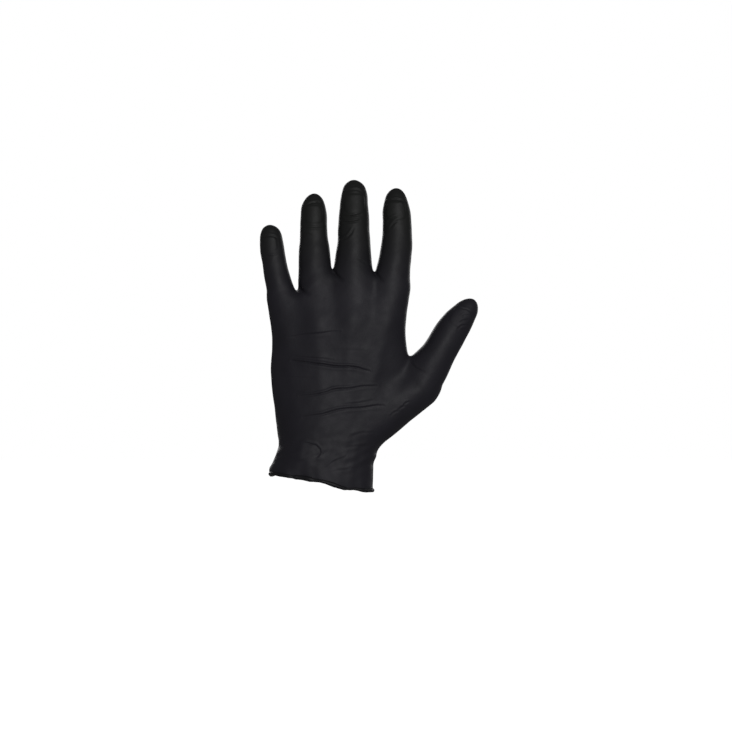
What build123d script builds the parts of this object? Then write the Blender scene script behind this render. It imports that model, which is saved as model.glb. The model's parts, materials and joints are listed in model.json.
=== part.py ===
# Disposable nitrile glove, in the shape that it takes on an open left hand.
#
# The glove is one dipped film with a rolled bead round its cuff.  A hand flexes that film at the
# wrist, at the knuckles and at the two joints of every finger, so the film is cut there: each
# stretch between two joints is one shell, and each joint is crossed by one fold of film.
#
# Frame: the origin is the centre of the cuff's opening.  +Z runs up to the fingertips and +X to
# the thumb's side.  The back of the hand faces -Y, so the fingers close towards +Y.
# All sizes are in millimetres.
from build123d import *
import math
import os

# Film
FILM_WALL = 0.8            # drawn wall; the real film is 0.13 mm thick
BEAD_RADIUS = 1.4          # rolled rim of the cuff

# Cuff edge: a plane that falls towards the thumb's side
CUFF_EDGE_HEIGHT = -0.7    # height of the edge at x = 0
CUFF_EDGE_SLOPE = -0.137   # height lost per millimetre towards +X

# Hand sections from the cuff to the knuckles:
# height, little-finger side, thumb side, depth of the back, depth of the palm
HAND_SECTIONS = [
    (-14.0, -36.0, 35.5, 20.0, 20.0),
    (2.0, -35.8, 35.2, 20.0, 20.0),
    (18.0, -33.2, 36.8, 19.5, 19.5),
    (32.0, -30.8, 38.5, 18.5, 19.5),
    (50.0, -33.2, 44.0, 17.0, 19.0),
    (70.0, -35.4, 50.0, 15.5, 17.5),
    (90.0, -35.7, 56.5, 14.5, 15.5),
    (108.0, -35.2, 58.6, 14.2, 14.8),
    (122.0, -36.6, 59.4, 13.2, 13.8),
    (134.0, -38.0, 59.8, 9.0, 9.5),
]
HAND_SQUARENESS = 2.4      # 2 is an ellipse, more is squarer
OUTLINE_STEP = 30          # degrees between the points of an outline across the hand

# Webs between the ring, middle and index fingers, in the same form
WEB_SECTIONS = [
    (118.0, -22.0, 58.0, 9.0, 9.5),
    (134.0, -16.0, 59.0, 8.5, 9.0),
    (147.5, -6.0, 54.0, 7.0, 7.5),
]

# Fingers, each a tapered round stall: the foot of its axis (x, z), its lean towards the thumb in
# degrees, then its radius at the foot and at the dome, and its length to the tip
FINGER_FOOT = {
    "little": (-25.6, 110.0), "ring": (-4.4, 116.0), "middle": (21.2, 116.0), "index": (47.0, 116.0)
}
FINGER_LEAN = {"little": -10.0, "ring": -1.5, "middle": 0.8, "index": 4.0}
FINGER_RADII = {"little": (10.6, 7.5), "ring": (12.2, 8.4), "middle": (13.4, 9.6), "index": (12.4, 8.9)}
FINGER_LENGTH = {"little": 73.2, "ring": 89.0, "middle": 98.7, "index": 92.8}

# Thumb: a stall like the fingers', on a ball that is lofted along the bent axis (x, y, z, width, depth)
THUMB_FOOT = (74.0, 3.5, 76.0)
THUMB_LEAN = 31.0
THUMB_RADII = (12.6, 8.6)
THUMB_LENGTH = 61.0
BALL_SECTIONS = [
    (20.0, 1.0, 34.0, 13.0, 14.0),
    (44.0, 3.5, 50.0, 16.6, 16.5),
    (60.0, 4.5, 61.5, 15.4, 14.5),
    (76.0, 3.5, 79.0, 12.6, 11.8),
]

# Flex lines.  Each has a pivot, a lean from the X axis, the angles that it reaches each way, and
# the stretch of its hinge line that it takes up, which keeps it clear of the film beside it.
FOLD_HALF_GAP = 0.6        # half of the narrowest width of a fold
FOLD_SPARE_ANGLE = 2.0     # degrees left open at each side of a fully closed fold
FOLD_REACH = 40.0          # longer than any section is deep
WRIST_STRETCH = (-60.0, 60.0)
KNUCKLE_STRETCH = (-60.0, 55.0)
MIDDLE_JOINT_STRETCH = (-14.0, 14.0)
END_JOINT_STRETCH = (-13.0, 13.0)
THUMB_BASE_STRETCH = (-18.5, 25.0)
THUMB_END_STRETCH = (-20.0, 20.0)
WRIST_PIVOT = (3.0, 0.0, 31.0)
WRIST_FLEX = 60.0
WRIST_EXTEND = 50.0
KNUCKLE_PIVOT = (11.0, 0.0, 110.0)
KNUCKLE_LEAN = 9.0         # the index knuckle is higher than the little one
KNUCKLE_FLEX = 75.0
MIDDLE_JOINT = {
    "little": (-31.6, 144.0), "ring": (-5.6, 162.5), "middle": (21.9, 163.5), "index": (50.2, 161.5)
}
END_JOINT = {
    "little": (-34.8, 162.0), "ring": (-6.1, 181.5), "middle": (22.2, 187.5), "index": (51.9, 185.0)
}
# Each finger hinges square to itself, but the index leans more, so that it closes beside the thumb
FINGER_HINGE_LEAN = {"little": -10.0, "ring": -1.5, "middle": 0.8, "index": 9.0}
MIDDLE_JOINT_FLEX = 90.0
END_JOINT_FLEX = 60.0
THUMB_BASE_PIVOT = (79.0, 3.5, 78.0)
THUMB_BASE_LEAN = 57.0     # the thumb closes across the palm, about a line from its web to its knuckle
THUMB_BASE_FLEX = 50.0
THUMB_END_PIVOT = (90.0, 2.5, 104.5)
THUMB_END_FLEX = 70.0


def outline_points(low_x, high_x, back, palm, inset):
    """Places (x, y) round the hand: a rounded shape with its own depth on each side."""
    centre_x = (low_x + high_x) / 2
    half_width = (high_x - low_x) / 2 - inset
    power = 2 / HAND_SQUARENESS
    points = []
    for degrees in range(0, 360, OUTLINE_STEP):
        cosine = math.cos(math.radians(degrees))
        sine = math.sin(math.radians(degrees))
        depth = (palm if sine > 0 else back) - inset
        x = centre_x + half_width * math.copysign(abs(cosine) ** power, cosine)
        y = depth * math.copysign(abs(sine) ** power, sine)
        points.append((x, y))
    return points


def hand_outline(height, low_x, high_x, back, palm, inset):
    """Closed face across the hand."""
    points = [(x, y, height) for x, y in outline_points(low_x, high_x, back, palm, inset)]
    return make_face(Spline(*points, periodic=True))


def hand_solid(sections, inset):
    """A stretch of the hand, closed at its top by the same wall as its sides."""
    top_height, *top_shape = sections[-1]
    lowered = sections[:-1] + [(top_height - inset, *top_shape)]
    return loft([hand_outline(*section, inset) for section in lowered])


def stall_solid(radii, length, inset):
    """A finger stall standing on the origin: a cone with a domed tip."""
    foot_radius = radii[0] - inset
    dome_radius = radii[1] - inset
    tip = length - inset
    dome_start = length - radii[1]
    rise = tip - dome_start
    sphere_radius = (dome_radius ** 2 + rise ** 2) / (2 * rise)
    half_way = math.atan2(dome_radius, sphere_radius - rise) / 2
    between = (sphere_radius * math.sin(half_way), tip - sphere_radius * (1 - math.cos(half_way)))
    dome = ThreePointArc((dome_radius, dome_start), between, (0, tip))
    sides = Polyline((0, tip), (0, 0), (foot_radius, 0), (dome_radius, dome_start))
    return revolve(make_face(Plane.XZ * (dome + sides)), Axis.Z)


def finger_solid(name, inset):
    """One finger from inside the knuckles to its tip."""
    foot_x, foot_z = FINGER_FOOT[name]
    stall = stall_solid(FINGER_RADII[name], FINGER_LENGTH[name], inset)
    return Pos(foot_x, 0, foot_z) * Rot(0, FINGER_LEAN[name], 0) * stall


def thumb_solid(inset):
    """The thumb from its knuckle to its tip."""
    return Pos(*THUMB_FOOT) * Rot(0, THUMB_LEAN, 0) * stall_solid(THUMB_RADII, THUMB_LENGTH, inset)


def ball_solid(inset):
    """The ball of the thumb, with sections square to its bent axis."""
    centres = [Vector(*section[:3]) for section in BALL_SECTIONS]
    faces = []
    for number, (_, _, _, half_width, half_depth) in enumerate(BALL_SECTIONS):
        behind = centres[max(number - 1, 0)]
        ahead = centres[min(number + 1, len(centres) - 1)]
        along = (ahead - behind).normalized()
        across = Vector(along.Z, 0, -along.X)
        section = Plane(origin=centres[number], x_dir=across, z_dir=along)
        faces.append(section * Ellipse(half_width - inset, half_depth - inset))
    return loft(faces)


def glove_solid(inset):
    """The whole glove as a filled shape, smaller by the inset on every side."""
    stalls = [finger_solid(name, inset) for name in FINGER_RADII]
    web = hand_solid(WEB_SECTIONS, inset)
    return hand_solid(HAND_SECTIONS, inset).fuse(web, ball_solid(inset), thumb_solid(inset), *stalls)


def above_cuff_edge():
    """Everything above the slanting plane of the cuff's edge."""
    tilt = math.degrees(math.atan(-CUFF_EDGE_SLOPE))
    side = 2 * max(FINGER_LENGTH.values()) + 2 * HAND_SECTIONS[-1][0]
    block = Box(side, side, side, align=(Align.CENTER, Align.CENTER, Align.MIN))
    return Pos(0, 0, CUFF_EDGE_HEIGHT) * Rot(0, tilt, 0) * block


def fold_space(pivot, lean, flex, extend, stretch):
    """The space round one flex line: it opens towards the side that the film folds on."""
    palm_rise = FOLD_REACH * math.tan(math.radians(flex / 2 + FOLD_SPARE_ANGLE))
    back_rise = 0.0
    if extend > 0:
        back_rise = FOLD_REACH * math.tan(math.radians(extend / 2 + FOLD_SPARE_ANGLE))
    outline = [
        (-FOLD_REACH, FOLD_HALF_GAP + back_rise),
        (0, FOLD_HALF_GAP),
        (FOLD_REACH, FOLD_HALF_GAP + palm_rise),
        (FOLD_REACH, -FOLD_HALF_GAP - palm_rise),
        (0, -FOLD_HALF_GAP),
        (-FOLD_REACH, -FOLD_HALF_GAP - back_rise),
    ]
    low_x, high_x = stretch
    face = Plane.YZ * make_face(Polyline(*outline, close=True))
    bar = Pos(low_x, 0, 0) * extrude(face, amount=high_x - low_x, dir=(1, 0, 0))
    return Pos(*pivot) * Rot(0, lean, 0) * bar


def bead_ring():
    """The rolled rim, flat where it meets the film and round below it."""
    _, low_x, high_x, back, palm = HAND_SECTIONS[1]
    points = []
    for x, y in outline_points(low_x, high_x, back, palm, FILM_WALL / 2):
        points.append((x, y, CUFF_EDGE_HEIGHT + CUFF_EDGE_SLOPE * x - BEAD_RADIUS / 2))
    path = Spline(*points, periodic=True)
    section = Plane(origin=path @ 0, z_dir=path % 0) * Circle(BEAD_RADIUS)
    return sweep(section, path=path) - above_cuff_edge()


def nearest_solid(shape, point):
    """The one solid of a cut shape whose centre lies nearest to a point."""
    return min(shape.solids(), key=lambda solid: (solid.center() - Vector(*point)).length)


def flex_lines():
    """Fold name to the space that its film fills."""
    spaces = {
        "wrist_fold": fold_space(WRIST_PIVOT, 0, WRIST_FLEX, WRIST_EXTEND, WRIST_STRETCH),
        "knuckle_fold": fold_space(KNUCKLE_PIVOT, -KNUCKLE_LEAN, KNUCKLE_FLEX, 0, KNUCKLE_STRETCH),
        "thumb_base_fold": fold_space(
            THUMB_BASE_PIVOT, THUMB_BASE_LEAN, THUMB_BASE_FLEX, 0, THUMB_BASE_STRETCH
        ),
        "thumb_end_fold": fold_space(THUMB_END_PIVOT, THUMB_LEAN, THUMB_END_FLEX, 0, THUMB_END_STRETCH),
    }
    for name, lean in FINGER_HINGE_LEAN.items():
        middle_x, middle_z = MIDDLE_JOINT[name]
        end_x, end_z = END_JOINT[name]
        spaces[name + "_middle_fold"] = fold_space(
            (middle_x, 0, middle_z), lean, MIDDLE_JOINT_FLEX, 0, MIDDLE_JOINT_STRETCH
        )
        spaces[name + "_end_fold"] = fold_space(
            (end_x, 0, end_z), lean, END_JOINT_FLEX, 0, END_JOINT_STRETCH
        )
    return spaces


# Where to look for each shell once the folds are cut out
FINGERTIP_RISE = 10        # from the last joint of a finger to the middle of its tip
SHELL_CENTRES = {
    "cuff_sleeve": (0, 0, 12),
    "palm": (15, 0, 70),
    "knuckles": (12, 0, 130),
    "thumb_middle": (87, 3, 92),
    "thumb_end": (99, 2, 118),
}
for finger in FINGER_RADII:
    middle_x, middle_z = MIDDLE_JOINT[finger]
    end_x, end_z = END_JOINT[finger]
    SHELL_CENTRES[finger + "_middle"] = ((middle_x + end_x) / 2, 0, (middle_z + end_z) / 2)
    SHELL_CENTRES[finger + "_end"] = (end_x, 0, end_z + FINGERTIP_RISE)


def main():
    film = (glove_solid(0) - glove_solid(FILM_WALL)) & above_cuff_edge()
    parts = {"rolled_bead": bead_ring()}
    shells = film
    for fold, space in flex_lines().items():
        parts[fold] = film & space
        shells = shells - space
    for shell, centre in SHELL_CENTRES.items():
        parts[shell] = nearest_solid(shells, centre)
    os.makedirs("parts", exist_ok=True)
    for node, shape in parts.items():
        shape.label = node
        export_step(shape, f"parts/{node}.step")
        print(node, len(shape.solids()), round(shape.volume, 1))


main()
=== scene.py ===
"""A black disposable nitrile glove, filled out as it is on an open left hand.

The film is one smooth surface, worked out in millimetres: a rounded shape for the hand, a round
stall for each finger and the thumb, all melted together.  It is meshed, its folds, nails and
knuckles are pressed into it, and then it is cut where nothing bends, so that each piece crosses
one joint.  +Z is towards the fingertips, +X the thumb's side and -Y the back of the hand.
"""

import json

import bmesh
import bpy
import numpy as np
import openvdb
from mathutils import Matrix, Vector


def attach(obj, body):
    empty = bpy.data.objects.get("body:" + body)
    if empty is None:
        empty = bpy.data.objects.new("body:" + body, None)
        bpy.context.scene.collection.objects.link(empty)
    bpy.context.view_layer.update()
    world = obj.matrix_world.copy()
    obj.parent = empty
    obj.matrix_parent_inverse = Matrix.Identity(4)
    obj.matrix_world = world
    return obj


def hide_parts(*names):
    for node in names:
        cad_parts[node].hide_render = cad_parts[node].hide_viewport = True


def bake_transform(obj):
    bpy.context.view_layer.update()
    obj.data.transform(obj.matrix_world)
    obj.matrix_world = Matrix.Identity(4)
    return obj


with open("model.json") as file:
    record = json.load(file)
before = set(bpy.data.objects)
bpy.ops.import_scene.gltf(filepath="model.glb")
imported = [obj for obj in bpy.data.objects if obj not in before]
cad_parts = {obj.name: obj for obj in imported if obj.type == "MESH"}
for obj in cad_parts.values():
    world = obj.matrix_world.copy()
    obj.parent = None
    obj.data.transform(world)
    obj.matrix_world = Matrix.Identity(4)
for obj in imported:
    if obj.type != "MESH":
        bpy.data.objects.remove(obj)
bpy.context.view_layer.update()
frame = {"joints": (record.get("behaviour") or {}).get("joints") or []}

MM = 0.001
FILM = 0.25                 # drawn thickness of the film
BEAD_RADIUS = 1.3           # rolled rim of the cuff
CELL = 1.25                 # cell of the first, coarse surface
TINY = 1e-3                 # keeps a division away from nothing
JOINTS = {joint["name"]: joint for joint in frame["joints"]}


# ---------------------------------------------------------------- curves and fields

def curve(x, places, values):
    """A smooth curve through a few values, straight beyond its ends: its value and its slope at x."""
    places = np.asarray(places, float)
    values = np.asarray(values, float)
    slopes = np.gradient(values, places)
    cell = np.clip(np.searchsorted(places, x) - 1, 0, len(places) - 2)
    width = places[cell + 1] - places[cell]
    t = np.clip((x - places[cell]) / width, 0, 1)
    low, high = values[cell], values[cell + 1]
    rise_low, rise_high = slopes[cell] * width, slopes[cell + 1] * width
    value = (low * (1 + 2 * t) * (1 - t) ** 2 + rise_low * t * (1 - t) ** 2
             + high * t ** 2 * (3 - 2 * t) - rise_high * t ** 2 * (1 - t))
    slope = (6 * (high - low) * t * (1 - t) + rise_low * (1 - t) * (1 - 3 * t)
             - rise_high * t * (2 - 3 * t)) / width
    value = value + np.minimum(x - places[0], 0) * slopes[0] + np.maximum(x - places[-1], 0) * slopes[-1]
    return value, slope


def smooth_step(x, low, high):
    """0 below the low end, 1 above the high end and a smooth rise between."""
    t = np.clip((x - low) / (high - low), 0, 1)
    return t * t * (3 - 2 * t)


def bump(x, middle, spread):
    """A smooth bump, 1 high at its middle."""
    return np.exp(-((x - middle) / spread) ** 2)


def melt(a, b, reach):
    """The union of two fields, rounded where they meet."""
    h = np.clip(0.5 + 0.5 * (b - a) / reach, 0, 1)
    return b + (a - b) * h - reach * h * (1 - h)


# Hand outline by height: little-finger side, thumb side, depth of the back, depth of the palm
HAND_HEIGHTS = [-14, 0, 9, 18, 26, 36, 50, 65, 80, 95, 112, 129, 142, 150]
HAND_LOW_X = [-35, -35.2, -35, -33.2, -30.4, -30.6, -33.2, -35.6, -36.5, -35.5, -34.9, -37.0, -39.3, -40]
HAND_HIGH_X = [35.7, 35.7, 36.0, 37.1, 38.3, 39.9, 44.2, 50, 56, 58.5, 58.2, 59.2, 60.8, 61.6]
HAND_BACK = [19, 19, 18.6, 18.0, 17.4, 17.0, 16.4, 15.4, 14.6, 14.2, 14.0, 11.4, 7.6, 5.8]
HAND_PALM = [20, 20, 19.6, 18.8, 18.2, 17.8, 17.2, 16.4, 15.6, 14.8, 14.6, 12.6, 8.6, 6.6]
PALM_SQUARENESS = 2.5
BACK_SQUARENESS = 2.1
WEB_X = [-45, -24, -14, -4, 8, 37, 60]
WEB_HEIGHT = [132, 132.5, 135, 145, 147.5, 146.0, 140]
WEB_STEEPNESS = 0.95        # turns height above the webs into distance from them

# Each finger by height: its middle line, and its half width; the last pair is the very tip
FINGERS = {
    "little": {
        "height": [104, 120, 137, 146, 154.5, 163, 171.6, 176.2, 179.9, 182.7],
        "middle": [-24.6, -27.0, -29.8, -32.3, -33.9, -35.5, -36.3, -36.6, -36.9, -37.2],
        "half": [8.0, 9.8, 9.8, 9.1, 8.5, 8.55, 8.05, 7.3, 5.5, 0],
    },
    "ring": {
        "height": [104, 120, 140, 154.5, 163, 171.6, 180, 188.7, 197, 201.5, 205.2],
        "middle": [-4.6, -4.8, -5.0, -5.35, -5.7, -6.05, -6.3, -6.2, -6.4, -6.1, -5.9],
        "half": [8.0, 11.0, 12.0, 11.3, 10.95, 9.95, 9.5, 9.15, 8.0, 5.9, 0],
    },
    "middle": {
        "height": [104, 120, 142, 154.5, 163, 171.6, 180, 188.7, 197, 205.8, 210.6, 214.9],
        "middle": [20.5, 21.2, 22.0, 21.8, 22.1, 22.4, 22.2, 22.4, 22.4, 22.7, 22.5, 22.4],
        "half": [8.0, 13.0, 14.7, 13.3, 12.35, 11.35, 11.0, 10.65, 9.85, 8.65, 7.0, 0],
    },
    "index": {
        "height": [104, 120, 140, 150, 159, 167, 176, 184, 193, 199, 205, 208.8],
        "middle": [45.8, 46.6, 49.4, 50.2, 51.6, 52.7, 53.3, 53.1, 52.6, 52.4, 52.3, 52.4],
        "half": [8.0, 11.5, 12.3, 12.0, 11.35, 10.95, 10.3, 9.95, 9.55, 8.35, 6.0, 0],
    },
}
FINGER_BACK = 0.80          # depth over half width, on the back
FINGER_PALM = 0.90
FINGER_BOW = 0.00038        # how soon the fingers curve towards the palm, above this height
FINGER_BOW_START = 118
LEAST_STALL_SLOPE = 2.0     # keeps a stall's field calm along its middle line

# Thumb along its own line: distance, offset across, half width
THUMB_ORIGIN = (76.8, 79.8)
THUMB_LEAN = np.radians(31.5)
THUMB_ALONG = [-24, -17, -12, -4, 4, 14, 24, 33, 41, 47, 52.5, 56.5, 58.6]
THUMB_OFFSET = [-1.0, -0.6, -0.4, -0.7, -1.0, -1.1, -1.3, -1.4, -1.0, -0.4, 0.2, 0.5, 0.6]
THUMB_HALF = [0, 11.0, 13.6, 13.6, 13.1, 11.9, 11.7, 11.2, 10.2, 8.8, 7.1, 4.4, 0]
THUMB_BACK = 0.82
THUMB_PALM = 0.92
THUMB_OUT = 2.5             # how far the thumb lies towards the palm

BALL_LINE = ((27.9, 34.9), (69.0, 67.2))      # middle line of the ball of the thumb
BALL_HALF = 15.4
BALL_DEPTH = 15.2
BALL_OUT = 3.6              # how far the ball lies towards the palm
BALL_NARROWING = 0.05       # share of width and of depth lost at the thumb's end
BALL_THINNING = 0.12
HEEL_CENTRE = (-17.0, 9.5, 44.0)
HEEL_SIZE = (15.0, 11.0, 27.0)

# How far each meeting of two shapes is melted
TOP_MELT = 6.0              # the sides of the hand and its end between the fingers
STALL_MELT = 2.4            # one finger and the next
FINGER_MELT = 6.0           # the fingers and the hand
HEEL_MELT = 7.0             # the heel and the hand
BALL_MELT = 2.5             # the thumb and its ball
THUMB_MELT = (6.5, 14.0)    # the thumb and the hand, near the wrist and near the web
THUMB_MELT_HEIGHT = (42, 66)


def hand_field(p):
    """The hand without its fingers and thumb: a rounded outline at every height."""
    x, y, z = p.T
    low, _ = curve(z, HAND_HEIGHTS, HAND_LOW_X)
    high, _ = curve(z, HAND_HEIGHTS, HAND_HIGH_X)
    back, _ = curve(z, HAND_HEIGHTS, HAND_BACK)
    palm, _ = curve(z, HAND_HEIGHTS, HAND_PALM)
    half = (high - low) / 2
    depth = np.where(y > 0, palm, back)
    across = np.abs((x - (low + high) / 2) / half)
    through = np.abs(y / depth)
    n = np.where(y > 0, PALM_SQUARENESS, BACK_SQUARENESS)
    size = np.maximum((across ** n + through ** n) ** (1 / n), TINY)
    steepness = np.hypot((across / size) ** (n - 1) / half, (through / size) ** (n - 1) / depth)
    side = (size - 1) / steepness
    top = (z - curve(x, WEB_X, WEB_HEIGHT)[0]) * WEB_STEEPNESS
    return -melt(-side, -top, TOP_MELT)


def stall_field(across, through, along, places, offsets, halves, bow, back, palm):
    """A round stall about a curved line, with a rounded end where its half width comes to nothing."""
    offset, lean = curve(along, places, offsets)
    area, taper = curve(along, places, np.square(halves))
    u = across - offset
    out = through - bow
    ratio = np.where(out > 0, palm, back)
    v = out / ratio
    value = u * u + v * v - area
    slope = np.sqrt(
        (2 * u) ** 2 + (2 * v / ratio) ** 2 + (taper + 2 * u * lean) ** 2 + LEAST_STALL_SLOPE ** 2)
    return value / slope


def finger_field(p, finger):
    """One finger, by height, bowed a little towards the palm."""
    x, y, z = p.T
    bow = FINGER_BOW * np.maximum(z - FINGER_BOW_START, 0) ** 2
    return stall_field(x, y, z, finger["height"], finger["middle"], finger["half"],
                       bow, FINGER_BACK, FINGER_PALM)


def thumb_lines(x, z):
    """Distance along the thumb and across it, from the middle of its knuckle."""
    dx, dz = x - THUMB_ORIGIN[0], z - THUMB_ORIGIN[1]
    sine, cosine = np.sin(THUMB_LEAN), np.cos(THUMB_LEAN)
    return dx * sine + dz * cosine, dx * cosine - dz * sine


def thumb_field(p):
    """The thumb beyond its ball."""
    along, across = thumb_lines(p[:, 0], p[:, 2])
    return stall_field(across, p[:, 1], along, THUMB_ALONG, THUMB_OFFSET, THUMB_HALF,
                       THUMB_OUT, THUMB_BACK, THUMB_PALM)


def ball_field(p):
    """The ball of the thumb: a long rounded shape about its middle line."""
    start, end = (np.array(point, float) for point in BALL_LINE)
    line = end - start
    flat = p[:, [0, 2]]
    t = np.clip((flat - start) @ line / (line @ line), 0, 1)
    gap = flat - start - t[:, None] * line
    u = np.hypot(*gap.T) / (BALL_HALF * (1 - BALL_NARROWING * t))
    v = (p[:, 1] - BALL_OUT) / (BALL_DEPTH * (1 - BALL_THINNING * t ** 2))
    size = np.maximum(np.hypot(u, v), TINY)
    steepness = np.hypot(u / size / BALL_HALF, v / size / BALL_DEPTH)
    return (size - 1) / steepness


def heel_field(p):
    """The heel of the hand on the little finger's side, which stands out on the palm."""
    scaled = (p - np.array(HEEL_CENTRE)) / np.array(HEEL_SIZE)
    return (np.linalg.norm(scaled, axis=1) - 1) * min(HEEL_SIZE)


def glove_field(p):
    """About the distance of each point from the film, below nothing inside the glove."""
    fingers = None
    for finger in FINGERS.values():
        one = finger_field(p, finger)
        fingers = one if fingers is None else melt(fingers, one, STALL_MELT)
    hand = melt(hand_field(p), fingers, FINGER_MELT)
    hand = melt(hand, heel_field(p), HEEL_MELT)
    thumb = melt(thumb_field(p), ball_field(p), BALL_MELT)
    low, high = THUMB_MELT
    return melt(hand, thumb, low + (high - low) * smooth_step(p[:, 2], *THUMB_MELT_HEIGHT))


def field_slope(p):
    """Which way the field rises, and how steeply."""
    step = 0.15
    slope = np.empty_like(p)
    for axis in range(3):
        shift = np.zeros(3)
        shift[axis] = step
        slope[:, axis] = (glove_field(p + shift) - glove_field(p - shift)) / (2 * step)
    return slope


# ---------------------------------------------------------------- the plain film

GRID_LOW = (-50.0, -24.0, -6.0)         # corners of the grid, a little outside the glove
GRID_HIGH = (116.0, 30.0, 220.0)


def coarse_surface():
    """The film as an even net of quads, from the field on a grid."""
    low = np.array(GRID_LOW)
    high = np.array(GRID_HIGH)
    counts = np.ceil((high - low) / CELL).astype(int)
    values = np.empty(counts, np.float32)
    ys, zs = np.meshgrid(np.arange(counts[1]), np.arange(counts[2]), indexing="ij")
    sheet = np.stack([np.zeros(ys.size), ys.ravel(), zs.ravel()], 1) * CELL + low
    for column in range(counts[0]):
        sheet[:, 0] = low[0] + column * CELL
        values[column] = glove_field(sheet).reshape(counts[1:])
    band = 3 * CELL
    grid = openvdb.FloatGrid(background=band)
    grid.copyFromArray(np.clip(values, -band, band))
    points, quads = grid.convertToQuads(isovalue=0.0)
    return points.astype(float) * CELL + low, quads[:, ::-1]


def mesh_points(mesh):
    """Where the vertices of a mesh are."""
    points = np.empty(len(mesh.vertices) * 3)
    mesh.vertices.foreach_get("co", points)
    return points.reshape(-1, 3)


def refined_mesh(points, quads):
    """The coarse net with each quad cut in four."""
    mesh = bpy.data.meshes.new("film")
    mesh.from_pydata(points.tolist(), [], quads.tolist())
    holder = bpy.data.objects.new("film", mesh)
    bpy.context.scene.collection.objects.link(holder)
    fine = holder.modifiers.new("fine", "SUBSURF")
    fine.levels = 1
    evaluated = holder.evaluated_get(bpy.context.evaluated_depsgraph_get())
    result = bpy.data.meshes.new_from_object(evaluated)
    bpy.data.objects.remove(holder)
    return result


def onto_surface(points):
    """Moves points along the field's slope until they lie on the film."""
    rounds, least_slope = 3, 0.05
    for _ in range(rounds):
        value = glove_field(points)
        slope = field_slope(points)
        points = points - slope * (value / np.maximum((slope ** 2).sum(1), least_slope))[:, None]
    return points


# ---------------------------------------------------------------- folds, nails and knuckles

def stroke_distance(x, z, stroke):
    """Distance from a line of points, positive above it, and the share of its length there."""
    line = np.array(stroke, float)
    best = np.full(len(x), np.inf)
    signed = np.zeros(len(x))
    share = np.zeros(len(x))
    lengths = np.linalg.norm(np.diff(line, axis=0), axis=1)
    run = np.concatenate([[0], np.cumsum(lengths)])
    for number, length in enumerate(lengths):
        start = line[number]
        way = (line[number + 1] - start) / length
        dx, dz = x - start[0], z - start[1]
        t = np.clip(dx * way[0] + dz * way[1], 0, length)
        gap = np.hypot(dx - t * way[0], dz - t * way[1])
        nearer = gap < best
        side = np.sign(dz * way[0] - dx * way[1])
        best = np.where(nearer, gap, best)
        signed = np.where(nearer, side * gap, signed)
        share = np.where(nearer, (run[number] + t) / run[-1], share)
    return signed, share


def fold(x, z, stroke, height, width=1.0):
    """A pinched fold: a ridge above the line and a crease along it, dying out at both ends."""
    away, share = stroke_distance(x, z, stroke)
    fade = np.sqrt(np.clip(np.sin(np.pi * np.clip(share, 0.02, 0.98)), 0, 1))
    ridge = bump(away, 1.15 * width, 0.95 * width)
    crease = bump(away, 0, 0.75 * width)
    under = bump(away, -1.6 * width, 1.4 * width)
    return height * fade * (ridge - 1.05 * crease + 0.25 * under)


def groove(x, z, stroke, depth, width):
    """A soft furrow along a line, deepest in its first half."""
    away, share = stroke_distance(x, z, stroke)
    fade = smooth_step(share, -0.02, 0.2) * (1 - smooth_step(share, 0.35, 0.99))
    return -depth * fade * bump(away, 0, width)


def spot(x, z, centre, size, lean):
    """Place about a leaning spot, across it and along it, as shares of its size."""
    dx, dz = x - centre[0], z - centre[1]
    angle = np.radians(lean)
    u = (dx * np.cos(angle) - dz * np.sin(angle)) / size[0]
    v = (dx * np.sin(angle) + dz * np.cos(angle)) / size[1]
    return u, v


def mound(x, z, centre, size, height, lean):
    """A soft rise, or a hollow where its height is negative."""
    u, v = spot(x, z, centre, size, lean)
    return height * np.exp(-(u * u + v * v))


def nail(x, z, centre, size, height, lean):
    """A nail under the film: a flat-topped plate, with its sharpest edge at its far end."""
    u, v = spot(x, z, centre, size, lean)
    plate = np.clip(u ** 4 + v ** 4, 0, 4)
    edge = 1 - smooth_step(plate, 0.55, 1.5)
    return height * edge * (0.75 + 0.25 * v)


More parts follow.
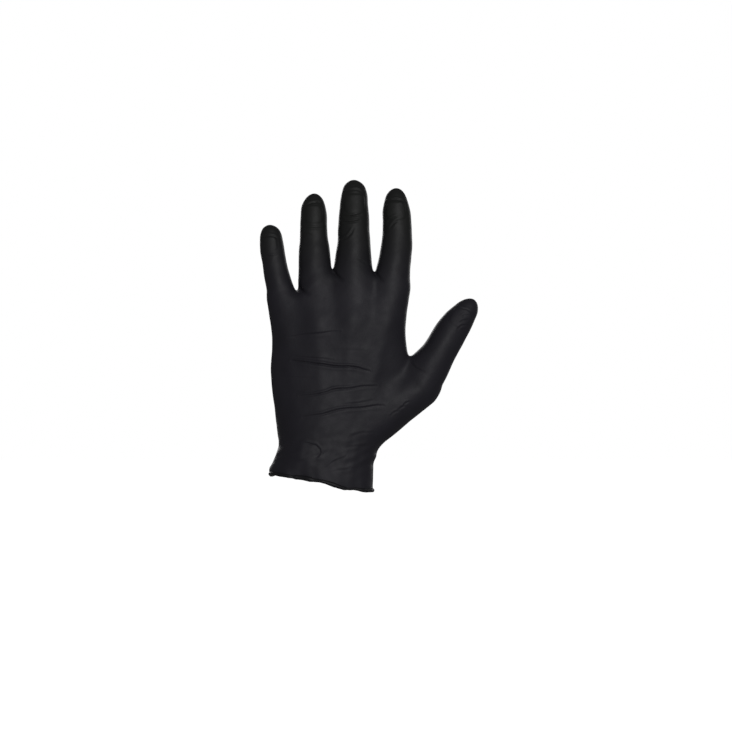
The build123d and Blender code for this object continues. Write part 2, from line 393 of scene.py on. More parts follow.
# Each fold: its line, its height and its width
BACK_FOLDS = [
    # across the back of the hand
    ([(-24.0, 103.0), (-17, 103.6), (-10, 104.6), (-3.8, 105.6), (12.8, 106.4)], 0.38, 1.0),
    ([(-22, 85.9), (-19, 85.7), (-8.5, 84.5), (4.3, 82.7), (17.6, 81.9), (25.8, 81.2), (33.4, 79.0)],
     1.0, 0.95),
    ([(-20, 88.8), (-10, 88.4), (0, 87.4), (8, 86.6)], 0.28, 0.9),
    ([(-15.7, 60.7), (-5, 62.2), (6.9, 65.3), (17.6, 66.7), (28, 67.7), (38.5, 68.1)], 0.60, 0.95),
    ([(-19.5, 63.2), (-12, 63.4), (-4, 64.8)], 0.22, 0.8),
    ([(-13.5, 46.1), (-5, 47.5), (0.9, 48.6), (11.6, 51.5), (22.3, 52.5), (38.9, 54.8), (43.5, 54.6)],
     0.65, 0.95),
    ([(14, 54.6), (25, 56.4), (36, 58.2)], 0.18, 0.9),
    ([(-30, 74.5), (-18, 74.6), (-6, 73.6)], 0.14, 1.2),
    ([(10, 93.4), (22, 93.6), (31, 92.4)], 0.06, 1.4),
    # round the end of the ulna
    ([(-15.7, 28.1), (-9.8, 28.3), (-4.6, 27.0), (-1.6, 24.2), (-1.2, 21.6), (-3.8, 18)], 0.42, 0.9),
    ([(2.1, 10.9), (6.9, 14.5), (12, 17.0), (17.6, 19.2)], 0.26, 0.9),
    ([(6, 8.2), (13, 10.4), (20, 12.2), (26, 11.8)], 0.16, 1.0),
    ([(16, 24.5), (24, 26.4), (33, 26.0)], 0.12, 1.2),
    ([(20, 33.0), (29, 35.6), (37, 36.0)], 0.12, 1.2),
    # webs
    ([(24.6, 157.6), (28.8, 156.3), (32.4, 154.2)], 0.30, 0.8),
    # foot of the thumb
    ([(56.0, 53.4), (58.6, 56.0), (61.6, 57.0)], 0.30, 0.8),
    ([(52.6, 50.4), (55.6, 53.4), (58.8, 54.4)], 0.26, 0.8),
    ([(47.6, 46.4), (50.6, 49.4), (54.2, 50.6)], 0.22, 0.8),
    ([(63.0, 84.6), (66.4, 80.8), (71.6, 78.4)], 0.30, 1.1),
    # fingers
    ([(14.8, 184.6), (18.6, 184.2), (22.0, 184.4), (26.4, 185.4)], 0.72, 0.8),
    ([(15.0, 188.6), (18.8, 188.2), (22.4, 188.6), (27.4, 189.8)], 0.62, 0.8),
    ([(14.0, 171.6), (17.6, 173.4), (20.4, 176.4), (22.2, 180.0)], 0.57, 0.9),
    ([(46.8, 184.8), (49.4, 186.8), (53.2, 188.4)], 0.62, 0.8),
    ([(47.8, 180.6), (50.2, 182.8), (53.2, 185.0)], 0.55, 0.8),
    ([(45.4, 198.4), (48.4, 200.0), (52.4, 200.5), (56.4, 199.8), (59.4, 198.2)], 0.62, 0.75),
    ([(-12.6, 196.2), (-8.0, 198.4), (-3.0, 198.8), (1.6, 197.0)], 0.59, 0.75),
    ([(-13.4, 180.2), (-9.0, 179.4), (-3.4, 179.6), (1.4, 180.4)], 0.35, 0.8),
    ([(-13.6, 174.6), (-10.6, 176.0), (-7.4, 175.8)], 0.30, 0.8),
    ([(14.6, 205.4), (18.6, 207.4), (24.4, 207.6), (29.6, 205.4)], 0.46, 0.8),
    ([(-42.4, 173.0), (-39.4, 174.6), (-35.0, 174.2), (-31.0, 172.6)], 0.49, 0.75),
    ([(-40.4, 160.6), (-36.4, 160.2), (-31.4, 161.0)], 0.32, 0.8),
    # end of the thumb
    ([(95.6, 108.2), (98.6, 111.0), (102.6, 111.6)], 0.36, 0.75),
    ([(96.6, 112.4), (99.4, 114.8), (103.6, 115.0)], 0.32, 0.75),
    ([(97.6, 116.2), (100.6, 118.4), (104.8, 118.2)], 0.26, 0.75),
    ([(93.6, 123.2), (98.0, 123.6), (103.0, 122.4), (107.6, 118.6)], 0.30, 0.8),
]

# Each groove: its line, its depth and its width
BACK_GROOVES = [
    # from the webs into the back of the hand
    ([(-17.6, 139.6), (-14.6, 135.6), (-11.0, 133.4), (-7.0, 132.4)], 1.5, 1.5),
    ([(7.2, 150.4), (9.4, 147.0), (12.4, 143.8), (16.6, 141.2)], 1.7, 1.4),
    ([(36.8, 149.6), (38.6, 146.4), (41.2, 143.2), (45.0, 141.2)], 1.1, 1.4),
]

PALM_FOLDS = [
    # the palm's own creases, and slack film over its hollow
    ([(-31, 100.5), (-14, 100.0), (4, 104.0), (16, 112.0), (20, 120.0)], 0.55, 1.2),
    ([(56, 97.0), (40, 94.6), (20, 88.0), (-2, 82.0), (-20, 79.0)], 0.50, 1.2),
    ([(55, 92.5), (38, 82.0), (26, 66.0), (21, 48.0), (20, 36.0)], 0.55, 1.2),
    ([(-6, 70.0), (6, 72.6), (20, 73.0)], 0.30, 1.0),
    ([(-12, 58.0), (0, 61.0), (14, 61.4)], 0.34, 1.0),
    ([(-16, 34.0), (0, 32.6), (16, 33.4), (30, 36.0)], 0.50, 1.1),
    ([(-22, 28.4), (-6, 27.0), (12, 27.6), (26, 29.6)], 0.40, 1.1),
    ([(-14, 18.0), (2, 16.6), (18, 18.4)], 0.28, 1.0),
    # the fingers' creases
    ([(-37.6, 132.6), (-29.6, 130.4), (-21.0, 132.0)], 0.45, 1.0),
    ([(-13.6, 141.6), (-5.0, 139.6), (4.4, 141.4)], 0.50, 1.0),
    ([(10.6, 145.0), (22.0, 143.0), (34.4, 145.0)], 0.50, 1.0),
    ([(41.0, 142.8), (50.0, 140.8), (59.6, 142.4)], 0.50, 1.0),
    ([(-39.6, 147.8), (-32.6, 146.6), (-25.0, 145.6)], 0.40, 0.9),
    ([(-15.0, 165.0), (-5.8, 163.6), (3.6, 165.0)], 0.45, 0.9),
    ([(11.6, 167.0), (22.2, 165.4), (32.6, 167.0)], 0.45, 0.9),
    ([(42.4, 164.0), (52.4, 162.6), (61.8, 164.2)], 0.45, 0.9),
    ([(-42.2, 162.8), (-35.4, 161.6), (-28.4, 161.0)], 0.32, 0.8),
    ([(-14.4, 182.6), (-6.2, 181.4), (1.8, 182.6)], 0.36, 0.8),
    ([(13.2, 188.6), (22.4, 187.4), (31.6, 188.6)], 0.36, 0.8),
    ([(44.6, 186.6), (53.2, 185.4), (61.6, 186.6)], 0.36, 0.8),
    # the thumb's creases
    ([(81.6, 108.6), (90.0, 105.0), (97.6, 99.6)], 0.40, 0.9),
    ([(68.6, 92.6), (76.0, 85.0), (84.6, 79.0)], 0.45, 1.1),
    ([(61.0, 80.0), (70.0, 71.4), (77.0, 65.4)], 0.36, 1.1),
]

# Each nail and mound: its centre, its size across and along, its height and its lean in degrees
NAILS = [
    ((-37.0, 168.6), (4.6, 4.8), 0.45, -8.0),
    ((-6.0, 189.8), (5.8, 6.2), 0.50, -1.0),
    ((22.9, 197.4), (6.8, 6.6), 0.62, 0.0),
    ((52.2, 192.2), (6.4, 6.2), 0.62, 0.0),
    ((98.4, 116.6), (6.6, 7.0), 0.45, 31.0),
]

BACK_MOUNDS = [
    # knuckles, the bones behind them and the hollows between
    ((-26, 103), (7.5, 9), 0.9, 0), ((-3.4, 112), (7.5, 9.5), 1.0, 0),
    ((21.6, 116), (8.5, 10), 1.3, 0), ((46, 114), (8, 10), 1.2, 0),
    ((-14, 108), (5.5, 16), -0.3, 0), ((9, 116), (6, 17), -0.3, 0), ((34, 118), (6, 17), -0.2, 0),
    ((-22, 74), (4.5, 26), 0.35, -8), ((-1, 80), (4.5, 28), 0.45, -4),
    ((19, 82), (4.5, 30), 0.55, 2), ((39, 82), (4.5, 28), 0.55, 12),
    # end of the ulna, and the hollow beside it
    ((-15, 21), (9, 9), 1.6, 0), ((8, 26), (9, 13), -0.6, 0),
    # middle joints
    ((-32, 145), (6, 7), 0.5, 0), ((-5.7, 163), (7, 8), 0.5, 0),
    ((22, 164), (8, 8), 0.55, 0), ((51.6, 162), (7.5, 8), 0.5, 0),
    # tendon along the thumb, its knuckle, and the hollow between thumb and hand
    ((60, 58), (9.0, 20), 0.15, 52), ((74, 74), (7, 14), 0.45, 36), ((84, 97), (6, 16), 0.5, 31),
    ((60, 76), (9, 9), -0.2, 0), ((50, 66), (13, 8), -0.35, -25),
    # the arch of the hand: highest behind the index knuckle, lower down nearer the little finger
    ((26, 108), (24, 26), 1.6, 0), ((0, 52), (17, 26), 1.0, -12), ((-28, 92), (12, 34), -1.2, 0),
]

PALM_MOUNDS = [
    # the hollow of the palm, the pads at the fingers' roots, and those along the fingers and thumb
    ((10, 74), (15, 26), -2.2, 8), ((-26, 118), (9, 8), 0.9, 0), ((-3, 124), (9, 8), 1.0, 0),
    ((22, 128), (10, 8), 1.0, 0), ((48, 124), (9, 9), 1.0, 0),
    ((-33, 154), (6, 5.5), 0.4, 0), ((-6, 173), (7, 6.5), 0.5, 0), ((22, 176), (8, 7), 0.5, 0),
    ((52.8, 174), (7.5, 7), 0.5, 0), ((-36.4, 171), (5.5, 6), 0.6, 0), ((-6.2, 192), (6.5, 7), 0.7, 0),
    ((22.4, 200), (7.5, 8), 0.8, 0), ((52.6, 196), (7, 7.5), 0.8, 0), ((100, 120), (7, 9), 0.8, 31),
]


# Unevenness of the film: seed, wave length and height
SLACK_WAVES = [(21, 26.0, 0.08), (22, 9.0, 0.03)]
DRIFT_SEEDS = (11, 12)      # folds wander off their lines, sideways and upwards
DRIFT_LENGTH = 14.0
DRIFT = 0.2
PUCKER_SEED = 23            # level puckers round the wrist
PUCKER_LENGTH = 9.0
PUCKER_HEIGHT = 0.10
PUCKER_PLACE = (20, 16)     # middle and spread
PUCKER_SQUEEZE = (1, 1, 2.2)


def waves(points, seed, length):
    """Gentle unevenness: a sum of waves in many directions, about 1 high, of about one length."""
    count = 14
    chance = np.random.default_rng(seed)
    total = np.zeros(len(points))
    for _ in range(count):
        way = chance.normal(size=3)
        way /= np.linalg.norm(way)
        pitch = 2 * np.pi / (length * chance.uniform(0.7, 1.5))
        total += np.sin(points @ way * pitch + chance.uniform(0, 2 * np.pi))
    return total / np.sqrt(count / 2)


def relief(points, normals):
    """How far each point of the film stands out of the plain surface, in millimetres."""
    x, _, z = points.T
    on_back = smooth_step(-normals[:, 1], 0.10, 0.55)
    on_palm = smooth_step(normals[:, 1], 0.10, 0.55)
    back = np.zeros(len(points))
    palm = np.zeros(len(points))
    drift_x = x + DRIFT * waves(points, DRIFT_SEEDS[0], DRIFT_LENGTH)
    drift_z = z + DRIFT * waves(points, DRIFT_SEEDS[1], DRIFT_LENGTH)
    for stroke, height, width in BACK_FOLDS:
        back += fold(drift_x, drift_z, stroke, height, width)
    for stroke, depth, width in BACK_GROOVES:
        back += groove(x, z, stroke, depth, width)
    for stroke, height, width in PALM_FOLDS:
        palm += fold(drift_x, drift_z, stroke, height, width)
    for centre, size, height, lean in NAILS:
        back += nail(x, z, centre, size, height, lean)
    for centre, size, height, lean in BACK_MOUNDS:
        back += mound(x, z, centre, size, height, lean)
    for centre, size, height, lean in PALM_MOUNDS:
        palm += mound(x, z, centre, size, height, lean)
    slack = sum(height * waves(points, seed, length) for seed, length, height in SLACK_WAVES)
    puckers = waves(points * np.array(PUCKER_SQUEEZE), PUCKER_SEED, PUCKER_LENGTH)
    puckers = PUCKER_HEIGHT * bump(z, *PUCKER_PLACE) * puckers
    return back * on_back + palm * on_palm + slack + puckers


# ---------------------------------------------------------------- cutting into pieces

def joint_place(name):
    """The middle of a joint's hinge line, in millimetres."""
    return np.array(JOINTS[name]["pos_m"]) / MM


def joint_way(name):
    """Unit vector along the film across a joint: square to its hinge line, towards the fingertips."""
    axis = np.array(JOINTS[name]["axis"], float)
    return np.cross(axis, (0, 1, 0)) * -1


# How far the film bends on each side of a joint
WRIST_REACH = 19.0
KNUCKLE_REACH = 18.0
MIDDLE_REACH = {"little": 8.8, "ring": 10.4, "middle": 12.0, "index": 11.0}
END_REACH = {"little": 5.2, "ring": 6.0, "middle": 6.8, "index": 6.4}
THUMB_BASE_REACH = (6.6, 10.2)      # it starts just above the web between thumb and hand
THUMB_END_REACH = 8.6
MIDDLE_SPARE = 0.1          # film left unbent between a bend and the cut next to it
END_SPARE = 0.4
THUMB_CUT_SHARE = 0.7       # where the thumb is cut, from its first bend to its second


def around(name, reach):
    """The first and last places that a joint's bend touches."""
    before, after = reach if isinstance(reach, tuple) else (reach, reach)
    return joint_place(name) - joint_way(name) * before, joint_place(name) + joint_way(name) * after


FINGER_GAPS = {"little": (-70, -18.5), "ring": (-18.5, 7.1), "middle": (7.1, 37.2), "index": (37.2, 80)}
THUMB_SIDE = 62.5           # the thumb and nothing else lies beyond this
THUMB_TOP = 135             # and below this
FAR_LEFT, FAR_RIGHT, FAR_UP = -70, 120, 250
CUT_BAND = 2.5              # only faces this near to a cut's plane are tried


def cut_planes():
    """Each cut: the place, the way up, which x it may touch, and below which height."""
    cuts = []
    for name in FINGERS:
        root, root_end = around(name + "_middle_flex", MIDDLE_REACH[name] + MIDDLE_SPARE)
        tip, _ = around(name + "_end_flex", END_REACH[name] + END_SPARE)
        between = (root_end + tip) / 2
        cuts.append((root, joint_way(name + "_middle_flex"), FINGER_GAPS[name], FAR_UP))
        cuts.append((between, joint_way(name + "_end_flex"), FINGER_GAPS[name], FAR_UP))
    foot, foot_end = around("thumb_base_flex", THUMB_BASE_REACH)
    tip, _ = around("thumb_end_flex", THUMB_END_REACH)
    middle = foot_end + (tip - foot_end) * THUMB_CUT_SHARE
    cuts.append((foot, joint_way("thumb_base_flex"), (THUMB_SIDE, FAR_RIGHT), THUMB_TOP))
    cuts.append((middle, joint_way("thumb_end_flex"), (THUMB_SIDE, FAR_RIGHT), THUMB_TOP))
    _, wrist_end = around("wrist_flex", WRIST_REACH)
    cuts.append((wrist_end, np.array([0.0, 0.0, 1.0]), (FAR_LEFT, FAR_RIGHT), FAR_UP))
    knuckles_start, _ = around("knuckles_flex", KNUCKLE_REACH)
    cuts.append((knuckles_start, joint_way("knuckles_flex"), (FAR_LEFT, THUMB_SIDE), FAR_UP))
    return cuts


def cut_film(mesh):
    """The film above the cuff's edge, cut along every plane: the bmesh, and its cut edges."""
    film = bmesh.new()
    film.from_mesh(mesh)
    bmesh.ops.bisect_plane(
        film, geom=film.verts[:] + film.edges[:] + film.faces[:],
        plane_co=(0, 0, 0), plane_no=(0, 0, 1), clear_inner=True)
    faces = film.faces[:]
    middles = np.array([face.calc_center_median()[:] for face in faces])
    cut_edges = set()
    for place, way, (low, high), ceiling in cut_planes():
        near = np.abs((middles - place) @ way) < CUT_BAND
        near &= (low < middles[:, 0]) & (middles[:, 0] < high) & (middles[:, 2] < ceiling)
        touched = [faces[number] for number in np.flatnonzero(near)]
        edges = {edge for face in touched for edge in face.edges}
        verts = {vertex for face in touched for vertex in face.verts}
        result = bmesh.ops.bisect_plane(
            film, geom=list(verts) + list(edges) + touched, plane_co=place, plane_no=way)
        cut_edges |= {item for item in result["geom_cut"] if isinstance(item, bmesh.types.BMEdge)}
    return film, cut_edges


def regions(film, cut_edges):
    """The faces between the cuts, as lists, each found by spreading out from one face."""
    film.faces.ensure_lookup_table()
    unseen = set(film.faces)
    found = []
    while unseen:
        group = [unseen.pop()]
        for face in group:
            for edge in face.edges:
                if edge in cut_edges:
                    continue
                for other in edge.link_faces:
                    if other in unseen:
                        unseen.remove(other)
                        group.append(other)
        found.append(group)
    return found


# The cuff's edge: its height across the back and across the palm
FRONT_EDGE_X = [-38, -30, -20, -9, -3, 7, 20, 34]
FRONT_EDGE_Z = [8.0, 5.8, 5.0, 4.0, 2.4, -0.2, -3.6, -5.6]
REAR_EDGE_Z = [5.6, 4.4, 2.6, 1.0, -0.4, -2.2, -4.2, -5.6]
EDGE_REACH = 22             # the edge's line draws the film with it up to this height
EDGE_WAVES = (31, 17.0, 0.35)           # seed, length and height
GATHER_WAVES = (32, 11.0, 0.45)
GATHER_STRETCH = (1, 1, 0.3)            # gathers run up the cuff
GATHER_REACH = 6.0
LITTLE_SIDE_FLARE = (8.0, 4.6, 2.4)     # middle, spread and how far it stands out
THUMB_SIDE_ROLLS = [(18.0, 2.2, 0.7), (12.5, 2.5, -0.42)]


def shape_cuff(points):
    """Draws the level edge of the cuff into its slanting, wavy line, and flares its ends."""
    x, y, z = points.T
    front, _ = curve(x, FRONT_EDGE_X, FRONT_EDGE_Z)
    rear, _ = curve(x, FRONT_EDGE_X, REAR_EDGE_Z)
    seed, length, height = EDGE_WAVES
    edge = front + (rear - front) * smooth_step(y, -12, 12) + height * waves(points, seed, length)
    new_z = z + edge * (1 - smooth_step(z, 0, EDGE_REACH))
    middle, spread, out = LITTLE_SIDE_FLARE
    little_side = -out * bump(new_z, middle, spread) * smooth_step(-x, 16, 34)
    thumb_side = sum(out * bump(new_z, middle, spread) for middle, spread, out in THUMB_SIDE_ROLLS)
    thumb_side = thumb_side * smooth_step(x, 16, 33)
    seed, length, height = GATHER_WAVES
    gathers = height * waves(points * np.array(GATHER_STRETCH), seed, length)
    gathers = gathers * np.exp(-np.maximum(z, 0) / GATHER_REACH)
    outward = np.sign(y) * smooth_step(np.abs(y), 4, 16)
    return np.stack([x + little_side + thumb_side, y + gathers * outward, new_z], 1)


def edge_loop(film):
    """The cuff's open edge as a ring of vertices in order."""
    following = {}
    for edge in film.edges:
        if edge.is_boundary:
            one, two = edge.verts
            following.setdefault(one, []).append(two)
            following.setdefault(two, []).append(one)
    start = next(iter(following))
    ring, last = [start], None
    while True:
        step = [v for v in following[ring[-1]] if v is not last]
        last = ring[-1]
        if step[0] is start or len(ring) > len(following):
            return ring
        ring.append(step[0])


# ---------------------------------------------------------------- Blender pieces

def new_object(name, points, faces, normals=None):
    """A smooth-shaded mesh object, given in millimetres, which remembers where each point is at rest."""
    mesh = bpy.data.meshes.new(name)
    mesh.from_pydata((points * MM).tolist(), [], faces)
    mesh.validate()
    mesh.polygons.foreach_set("use_smooth", [True] * len(mesh.polygons))
    if normals is not None:
        mesh.normals_split_custom_set_from_vertices(normals.tolist())
    rest = mesh.attributes.new("rest", "FLOAT_VECTOR", "POINT")
    rest.data.foreach_set("vector", (points * MM).astype(np.float32).ravel())
    piece = bpy.data.objects.new(name, mesh)
    bpy.context.scene.collection.objects.link(piece)
    return piece


def film_piece(name, group, normals):
    """One stretch of film with its own thickness, from the faces of one region."""
    number = {}
    corners = []
    for face in group:
        for vertex in face.verts:
            number.setdefault(vertex, len(number))
        corners.append([number[vertex] for vertex in face.verts])
    outer = np.array([vertex.co[:] for vertex in number])
    way = normals[[vertex.index for vertex in number]]
    count = len(outer)
    faces = corners + [[corner + count for corner in reversed(face)] for face in corners]
    sides = {}
    for face in corners:
        for a, b in zip(face, face[1:] + face[:1]):
            sides[(a, b)] = True
    for a, b in sides:
        if (b, a) not in sides:
            faces.append([b, a, a + count, b + count])
    points = np.concatenate([outer, outer - way * FILM])
    return new_object(name, points, faces, np.concatenate([way, -way]))


BEAD_SIDES = 12
BEAD_DROP = 0.3             # the bead's middle lies this far below the film's edge
BEAD_WAVES = [(41, 14.0, 0.16), (42, 4.0, 0.06)]        # seed, length and share of the radius
EDGE_SMOOTHING = 4


def bead_line(film):
    """The middle line of the rolled rim, smoothed along the film's edge."""
    ring = np.array([vertex.co[:] for vertex in edge_loop(film)])
    for _ in range(EDGE_SMOOTHING):
        ring = (np.roll(ring, 1, 0) + 2 * ring + np.roll(ring, -1, 0)) / 4
    return ring[::2] - np.array([0, 0, BEAD_DROP])


def bead_piece(centres):
    """The rolled rim: a tube of uneven thickness along the cuff's edge."""
    count, sides = len(centres), BEAD_SIDES
    middle = centres.mean(0)
    along = np.roll(centres, -1, 0) - np.roll(centres, 1, 0)
    along /= np.linalg.norm(along, axis=1)[:, None]
    out = centres - middle
    out -= (out * along).sum(1)[:, None] * along
    out /= np.linalg.norm(out, axis=1)[:, None]
    up = np.cross(along, out)
    uneven = sum(share * waves(centres, seed, length) for seed, length, share in BEAD_WAVES)
    thickness = BEAD_RADIUS * (1 + uneven)
    rings = []
    for side in range(sides):
        angle = 2 * np.pi * side / sides
        rings.append(centres + thickness[:, None] * (np.cos(angle) * out + np.sin(angle) * up))
    points = np.stack(rings, 1).reshape(-1, 3)
    faces = []
    for ring in range(count):
        for side in range(sides):
            a = ring * sides + side
            b = ring * sides + (side + 1) % sides
            step = ((ring + 1) % count - ring) * sides
            faces.append([a, b, b + step, a + step])
    piece = new_object("bead", points, faces)
    check = bmesh.new()
    check.from_mesh(piece.data)
    bmesh.ops.recalc_face_normals(check, faces=check.faces)
    check.to_mesh(piece.data)
    check.free()
    return piece


# ---------------------------------------------------------------- materials

# Colour over the hand, colour at the fingertips, and roughness
FILM_LOOK = ((0.0185, 0.0172, 0.0235), (0.0130, 0.0136, 0.0130), 0.54)
# The rim's colours are darker than the film's: painted shade under and inside the rolled edge.
SHADED_RIM_LOOK = ((0.0105, 0.0100, 0.0125), (0.0105, 0.0105, 0.0110), 0.50)
TIP_COLOUR_HEIGHTS = (0.128, 0.192)     # metres up the glove, where one colour turns into the other
NOISE_MIDDLE = (0.3, 0.7)               # the range that most of a noise lies in
SHADE_RANGE = (0.90, 1.10)
DULLER, SHINIER = 0.06, 0.05


def node(tree, kind, **values):
    """A shader node with some of its inputs set."""
    made = tree.nodes.new(kind)
    for name, value in values.items():
        made.inputs[name].default_value = value
    return made


def noise(tree, where, scale, detail, roughness):
    """Noise that stays on the film when it bends."""
    made = node(tree, "ShaderNodeTexNoise", Scale=scale, Detail=detail, Roughness=roughness)
    tree.links.new(where, made.inputs["Vector"])
    return made.outputs["Fac"]


def ranged(tree, value, source, target, interpolation="LINEAR"):
    """A value moved from one range to another."""
    made = tree.nodes.new("ShaderNodeMapRange")
    made.interpolation_type = interpolation
    limits = zip(("From Min", "From Max", "To Min", "To Max"), (*source, *target))
    for name, limit in limits:
        made.inputs[name].default_value = limit
    tree.links.new(value, made.inputs["Value"])
    return made.outputs["Result"]


def bumped(tree, height, strength, distance, normal=None):
    """A surface direction tilted by a height."""
    made = node(tree, "ShaderNodeBump", Strength=strength, Distance=distance)
    tree.links.new(height, made.inputs["Height"])
    if normal is not None:
        tree.links.new(normal, made.inputs["Normal"])
    return made.outputs["Normal"]


def nitrile(name, hand_colour, tip_colour, roughness):
    """Black nitrile: a soft satin face with fine grain, greyer over the hand than at the tips."""
    material = bpy.data.materials.new(name)
    material.use_nodes = True
    tree = material.node_tree
    link = tree.links.new
    shader = tree.nodes["Principled BSDF"]
    rest = tree.nodes.new("ShaderNodeAttribute")
    rest.attribute_name = "rest"
    where = rest.outputs["Vector"]

    height = tree.nodes.new("ShaderNodeSeparateXYZ")
    link(where, height.inputs[0])
    base = tree.nodes.new("ShaderNodeMix")
    base.data_type = "RGBA"
    base.inputs["A"].default_value = (*hand_colour, 1)
    base.inputs["B"].default_value = (*tip_colour, 1)
    towards_tips = ranged(tree, height.outputs["Z"], TIP_COLOUR_HEIGHTS, (0, 1), "SMOOTHSTEP")
    link(towards_tips, base.inputs["Factor"])

    clouds = noise(tree, where, 46.0, 3.0, 0.55)
    colour = tree.nodes.new("ShaderNodeMix")
    colour.data_type = "RGBA"
    colour.blend_type = "MULTIPLY"
    colour.inputs["Factor"].default_value = 1.0
    link(base.outputs["Result"], colour.inputs["A"])
    link(ranged(tree, clouds, NOISE_MIDDLE, SHADE_RANGE), colour.inputs["B"])
    link(colour.outputs["Result"], shader.inputs["Base Color"])

    patches = noise(tree, where, 120.0, 4.0, 0.6)
    dullness = (roughness - SHINIER, roughness + DULLER)
    link(ranged(tree, patches, NOISE_MIDDLE, dullness), shader.inputs["Roughness"])

    ripple = bumped(tree, noise(tree, where, 420.0, 2.0, 0.45), 0.35, 0.00022)
    grain = bumped(tree, noise(tree, where, 2100.0, 2.0, 0.5), 0.30, 0.00007, ripple)
    link(grain, shader.inputs["Normal"])
    shader.inputs["IOR"].default_value = 1.45
    shader.inputs["Specular IOR Level"].default_value = 0.34
    return material


# ---------------------------------------------------------------- building the glove

def place(piece, material, slot, *nodes):
    """Gives a piece its material and hides the CAD nodes that it stands for."""
    piece.data.materials.append(material)
    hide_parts(*nodes)
    return piece


def bend(piece):
    """Bakes the piece's placing into its mesh."""
    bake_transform(piece)


def seeds():
    """A point near each piece, to find its region by."""
    points = {"cuff": (2, -18, 20), "hand": (12, -15, 70), "knuckles_film": (12, -14, 115)}
    for name in FINGERS:
        points[name + "_stall"] = joint_place(name + "_middle_flex")
        points[name + "_tip"] = joint_place(name + "_end_flex") + joint_way(name + "_end_flex") * 9
    points["thumb_stall"] = joint_place("thumb_base_flex") + joint_way("thumb_end_flex") * 5
    points["thumb_tip"] = joint_place("thumb_end_flex") + joint_way("thumb_end_flex") * 12
    return {name: np.array(point, float) for name, point in points.items()}


def build_glove():
    """The whole glove, from its field to its named pieces."""
    mesh = refined_mesh(*coarse_surface())
    points = onto_surface(mesh_points(mesh))
    normals = field_slope(points)
    normals /= np.linalg.norm(normals, axis=1)[:, None]
    points = points + normals * relief(points, normals)[:, None]
    mesh.vertices.foreach_set("co", points.ravel())
    mesh.update()

    film, cut_edges = cut_film(mesh)
    shaped = shape_cuff(np.array([vertex.co[:] for vertex in film.verts]))
    for vertex, point in zip(film.verts, shaped):
        vertex.co = point
    film.normal_update()
    film.verts.index_update()
    vertex_normals = np.array([vertex.normal[:] for vertex in film.verts])
    groups = regions(film, cut_edges)
    middles = [np.array([face.calc_center_median()[:] for face in group]) for group in groups]

    satin = nitrile("nitrile film", *FILM_LOOK)
    # The rim material is the film darkened: painted shade of the rolled edge.
    rim = nitrile("nitrile rim", *SHADED_RIM_LOOK)
    pieces = {}
    used = []
    for name, seed in seeds().items():
        distances = [np.linalg.norm(places - seed, axis=1).min() for places in middles]
        used.append(int(np.argmin(distances)))
        pieces[name] = film_piece(name, groups[used[-1]], vertex_normals)
    assert sorted(used) == list(range(len(groups))), "each region becomes one piece"

    place(pieces["cuff"], satin, "film", "cuff_sleeve", "wrist_fold")
    bend(pieces["cuff"])
    place(pieces["hand"], satin, "film", "palm")
    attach(pieces["hand"], "palm")
    place(pieces["knuckles_film"], satin, "film", "knuckle_fold", "knuckles")
    bend(pieces["knuckles_film"])
    for name in FINGERS:
        place(pieces[name + "_stall"], satin, "film", name + "_middle_fold", name + "_middle")
        bend(pieces[name + "_stall"])
        place(pieces[name + "_tip"], satin, "film", name + "_end_fold", name + "_end")
        bend(pieces[name + "_tip"])
    place(pieces["thumb_stall"], satin, "film", "thumb_base_fold", "thumb_middle")
    bend(pieces["thumb_stall"])
    place(pieces["thumb_tip"], satin, "film", "thumb_end_fold", "thumb_end")
    bend(pieces["thumb_tip"])

    bead = bead_piece(bead_line(film))
    place(bead, rim, "bead", "rolled_bead")
    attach(bead, "cuff")
    film.free()


# ---------------------------------------------------------------- stage, lights and camera

FLOOR_HALF = 8.0            # metres
FLOOR_LEVEL = -0.42
FLOOR_SHADE = (0.93, 0.93, 0.93, 1)
FLOOR_GLOW = 0.92           # keeps the floor as white as the wall behind it
STUDIO_LIGHT = 0.14         # what the white wall sheds on the glove
WHITE = (1, 1, 1, 1)
VIEW_MIDDLE = (0.03, 0, 0.10)
# Each light: where it is, how wide it is, and its power in watts
LIGHTS = {
    "key": ((0.42, -1.50, 0.62), 0.6, 6.2),
    "front": ((0.22, -1.75, 0.06), 0.5, 3.8),
    "behind": ((-0.6, 1.6, 0.6), 0.9, 13.0),
    "right": ((1.2, 1.5, 0.38), 0.9, 6.0),
}
CAMERA_PLACE = (0.0310, -1.23, 0.0823)
CAMERA_LENS = 85            # millimetres, on a sensor 36 mm wide
CAMERA_SENSOR = 36


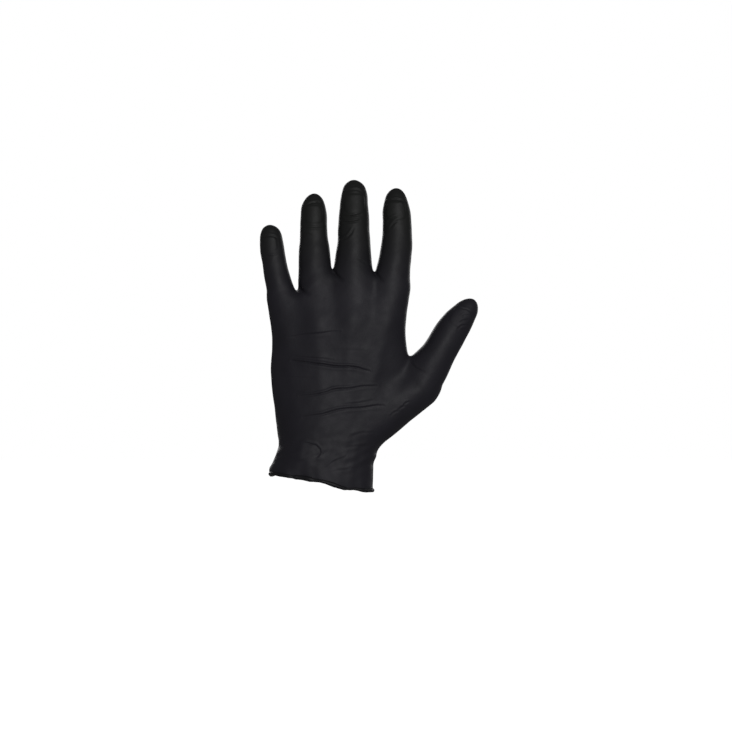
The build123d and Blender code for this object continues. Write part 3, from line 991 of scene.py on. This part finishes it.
def stage():
    """A pale floor well below the glove and a white studio all round, which lights it only dimly."""
    floor_mesh = bpy.data.meshes.new("floor")
    half = FLOOR_HALF
    corners = [(x, y, FLOOR_LEVEL) for x, y in ((-half, -half), (half, -half), (half, half), (-half, half))]
    floor_mesh.from_pydata(corners, [], [(0, 1, 2, 3)])
    floor = bpy.data.objects.new("floor", floor_mesh)
    bpy.context.scene.collection.objects.link(floor)
    pale = bpy.data.materials.new("pale floor")
    pale.use_nodes = True
    paint = pale.node_tree.nodes["Principled BSDF"]
    paint.inputs["Base Color"].default_value = FLOOR_SHADE
    paint.inputs["Roughness"].default_value = 0.9
    paint.inputs["Emission Color"].default_value = WHITE
    paint.inputs["Emission Strength"].default_value = FLOOR_GLOW
    floor_mesh.materials.append(pale)
    floor.visible_glossy = False
    floor.visible_diffuse = False

    world = bpy.data.worlds.new("studio")
    bpy.context.scene.world = world
    world.use_nodes = True
    tree = world.node_tree
    dim = tree.nodes["Background"]
    dim.inputs["Color"].default_value = WHITE
    dim.inputs["Strength"].default_value = STUDIO_LIGHT
    white = node(tree, "ShaderNodeBackground", Color=WHITE, Strength=1.0)
    rays = tree.nodes.new("ShaderNodeLightPath")
    mix = tree.nodes.new("ShaderNodeMixShader")
    tree.links.new(rays.outputs["Is Camera Ray"], mix.inputs["Fac"])
    tree.links.new(dim.outputs["Background"], mix.inputs[1])
    tree.links.new(white.outputs["Background"], mix.inputs[2])
    tree.links.new(mix.outputs["Shader"], tree.nodes["World Output"].inputs["Surface"])


def soft_light(name, place_at, size, watts):
    """A round soft light that faces the glove."""
    lamp = bpy.data.lights.new(name, "AREA")
    lamp.shape = "DISK"
    lamp.size = size
    lamp.energy = watts
    holder = bpy.data.objects.new(name, lamp)
    bpy.context.scene.collection.objects.link(holder)
    holder.location = place_at
    direction = Vector(VIEW_MIDDLE) - Vector(place_at)
    holder.rotation_euler = direction.to_track_quat("-Z", "Y").to_euler()


def camera():
    """Level with the middle of the view, square to the back of the hand."""
    lens = bpy.data.cameras.new("camera")
    lens.lens = CAMERA_LENS
    lens.sensor_width = CAMERA_SENSOR
    eye = bpy.data.objects.new("camera", lens)
    bpy.context.scene.collection.objects.link(eye)
    eye.location = CAMERA_PLACE
    eye.rotation_euler = (np.pi / 2, 0, 0)
    bpy.context.scene.camera = eye


build_glove()
stage()
for light, (place_at, size, watts) in LIGHTS.items():
    soft_light(light, place_at, size, watts)
camera()
bpy.context.scene.view_settings.view_transform = "Standard"
